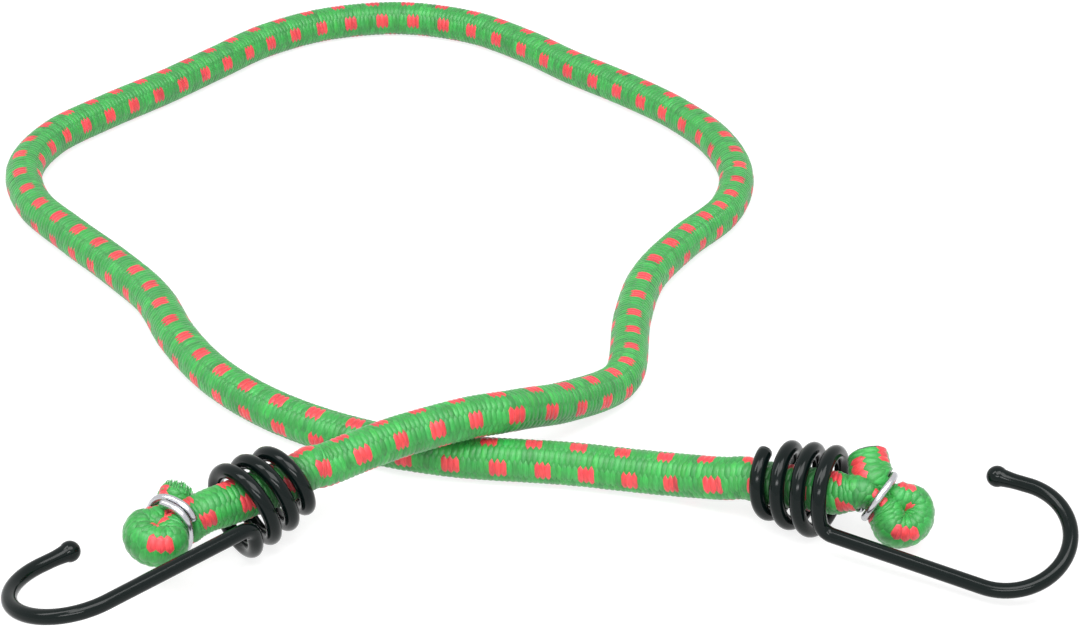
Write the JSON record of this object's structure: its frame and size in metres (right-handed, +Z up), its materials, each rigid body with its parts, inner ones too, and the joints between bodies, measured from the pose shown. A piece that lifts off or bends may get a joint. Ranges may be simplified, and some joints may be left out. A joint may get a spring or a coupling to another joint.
{
  "type": "bungee cord",
  "caption": "Elastic luggage cord in a braided sheath, with a coated wire hook wound on each end and a wire clip round each doubled cord end.",
  "frame": {"origin": "on the surface that the cord lies on, under the middle of the box round its two hooked ends, without the free cord between them", "axes": "+X from the left hook towards the right hook, +Y towards the far bend of the cord, +Z up"},
  "size_m": [0.2134, 0.2822, 0.0182],
  "materials": {
    "braid": "tight silky braid, bright green with rows of red patches",
    "rubber_core": "natural rubber strands",
    "clip_wire": "bright zinc-plated wire",
    "hook_coat": "glossy black dip coating",
    "hook_wire": "drawn steel wire"
  },
  "bodies": {
    "cord": {"cord_sheath": "braid", "cord_core": "rubber_core"},
    "left_end": {"left_end_sheath": "braid", "left_end_core": "rubber_core", "left_clip": "clip_wire"},
    "left_hook": {"left_hook_coat": "hook_coat", "left_hook_wire": "hook_wire"},
    "right_end": {"right_end_sheath": "braid", "right_end_core": "rubber_core", "right_clip": "clip_wire"},
    "right_hook": {"right_hook_coat": "hook_coat", "right_hook_wire": "hook_wire"}
  },
  "joints": [
    {"name": "left_stretch", "type": "slide", "parent": "cord", "child": "left_end", "axis": [-0.7771, -0.6293, 0], "range_m": [0, 0.16], "stiffness_N_per_m": 400, "deforming": ["cord_sheath", "cord_core"]},
    {"name": "left_swivel", "type": "hinge", "parent": "left_end", "child": "left_hook", "pos_m": [-0.045, 0.0146, 0.0111], "axis": [-0.7644, -0.619, -0.1805], "range_deg": [-160, 10]},
    {"name": "right_stretch", "type": "slide", "parent": "cord", "child": "right_end", "axis": [0.8746, -0.4848, 0], "range_m": [0, 0.16], "stiffness_N_per_m": 400, "deforming": ["cord_sheath", "cord_core"]},
    {"name": "right_swivel", "type": "hinge", "parent": "right_end", "child": "right_hook", "pos_m": [0.0402, 0.0193, 0.0082], "axis": [0.8737, -0.4843, 0.0454], "range_deg": [-40, 32]}
  ]
}
